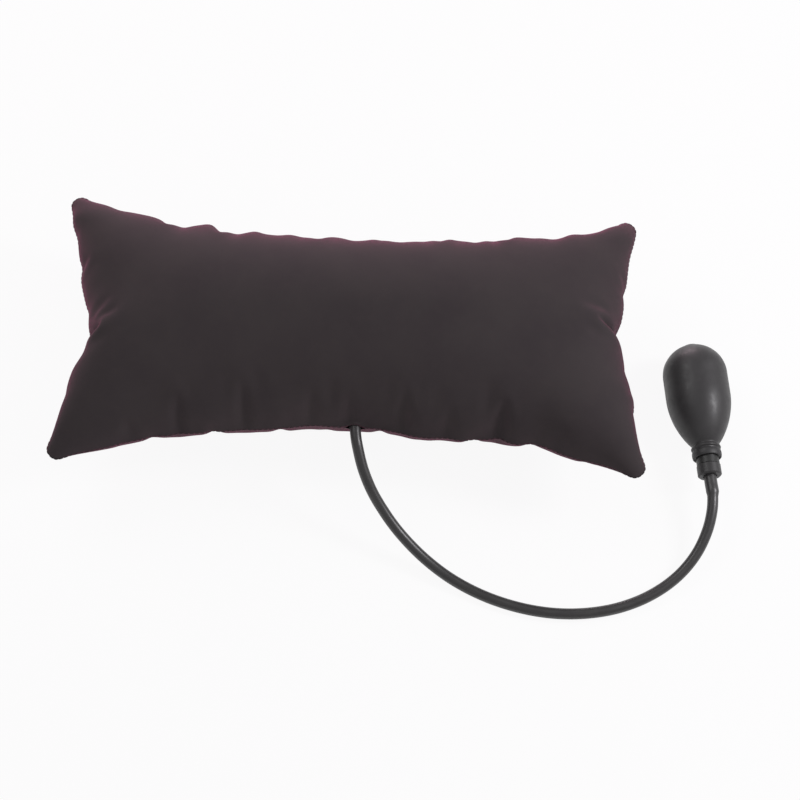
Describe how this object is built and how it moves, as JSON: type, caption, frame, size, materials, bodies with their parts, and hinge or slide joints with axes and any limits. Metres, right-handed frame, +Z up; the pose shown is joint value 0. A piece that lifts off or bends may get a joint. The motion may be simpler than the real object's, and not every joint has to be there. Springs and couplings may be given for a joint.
{
  "type": "inflatable camp pillow",
  "caption": "Rectangular inflatable camp pillow in a sewn fabric cover, with an air hose and a hand squeeze-bulb pump.",
  "frame": {"origin": "on the floor, under the middle of the pillow's flat underside", "axes": "+X along the pillow's long side, towards the pump's end; +Y to the long edge away from the hose; +Z up"},
  "size_m": [0.4953, 0.2988, 0.128],
  "materials": {
    "cover_fabric": "fine brushed weave, dark charcoal with a plum sheen at grazing angles",
    "thread": "matt sewing thread",
    "eyelet_rubber": "matt",
    "bladder_film": "smooth plastic film",
    "valve_plastic": "moulded, matt",
    "clip_steel": "plain",
    "hose_rubber": "satin extruded rubber",
    "bulb_rubber": "matt moulded rubber",
    "ring_rubber": "satin",
    "seat_brass": "turned",
    "disc_rubber": "matt",
    "seal_rubber": "greased",
    "collar_plastic": "moulded, satin",
    "screen_steel": "perforated sheet",
    "cage_plastic": "moulded, natural"
  },
  "bodies": {
    "pillow_base": {"cover_lower_panel": "cover_fabric", "bladder_lower_film": "bladder_film", "air_hose": "hose_rubber", "squeeze_bulb": "bulb_rubber", "neck_clamp_ring": "ring_rubber", "valve_body": "valve_plastic", "outlet_seat": "seat_brass", "collar_seals": "seal_rubber", "inlet_plug": "valve_plastic", "inlet_screen": "screen_steel", "inlet_cage": "cage_plastic"},
    "pillow_crown": {"cover_upper_panel": "cover_fabric", "bladder_upper_film": "bladder_film"},
    "seam_line": {"seam_thread": "thread", "hose_exit_eyelet": "eyelet_rubber", "bladder_port": "valve_plastic", "hose_port_clip": "clip_steel"},
    "release_collar": {"release_collar": "collar_plastic"},
    "outlet_disc": {"outlet_disc": "disc_rubber"},
    "inlet_disc": {"inlet_disc": "disc_rubber"}
  },
  "joints": [
    {"name": "inflation", "type": "slide", "parent": "pillow_base", "child": "pillow_crown", "axis": [0, 0, 1], "range_m": [-0.084, 0], "stiffness_N_per_m": 2000, "deforming": ["cover_upper_panel", "cover_lower_panel", "bladder_upper_film", "bladder_lower_film", "air_hose"]},
    {"name": "seam_drop", "type": "slide", "parent": "pillow_base", "child": "seam_line", "axis": [0, 0, 1], "range_m": [-0.042, 0]},
    {"name": "release_twist", "type": "hinge", "parent": "pillow_base", "child": "release_collar", "pos_m": [0.2588, -0.0053, 0.024], "axis": [0.1045, -0.9945, 0], "range_deg": [0, 90]},
    {"name": "outlet_valve", "type": "slide", "parent": "pillow_base", "child": "outlet_disc", "axis": [0.1045, -0.9945, 0], "range_m": [0, 0.001]},
    {"name": "inlet_valve", "type": "slide", "parent": "pillow_base", "child": "inlet_disc", "axis": [0.1045, -0.9945, 0], "range_m": [0, 0.001]}
  ],
  "couplings": [
    {"joint": "seam_drop", "follows": "inflation", "ratio": 0.5}
  ]
}
